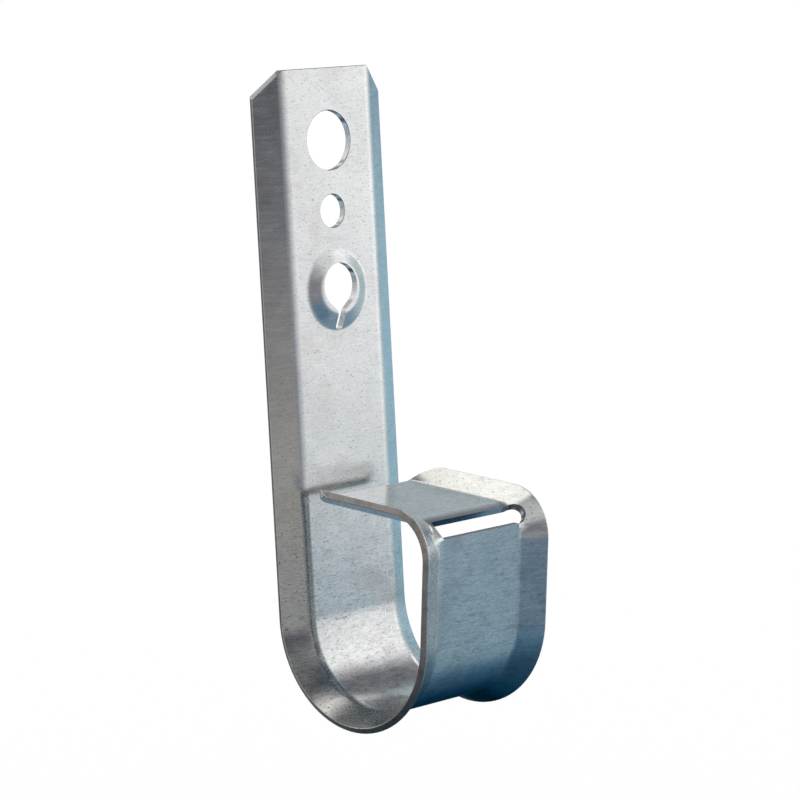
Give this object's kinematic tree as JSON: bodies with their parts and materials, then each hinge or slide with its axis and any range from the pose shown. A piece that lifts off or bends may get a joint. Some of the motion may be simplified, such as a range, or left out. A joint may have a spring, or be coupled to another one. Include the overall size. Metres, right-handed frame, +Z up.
{
  "type": "j hook cable support",
  "caption": "J-shaped cable support folded from one strip of galvanised steel, with fixing holes, a keyhole boss, a flared cable loop and a leaf that closes the loop.",
  "frame": {"origin": "centre of the large fixing hole, on the strip's front face", "axes": "X across the strip, +Y back to the wall, +Z up along the strip"},
  "size_m": [0.02, 0.0248, 0.0746],
  "materials": {
    "galvanised_steel": "galvanised"
  },
  "bodies": {
    "root": {"hook_body": "galvanised_steel"}
  },
  "joints": []
}
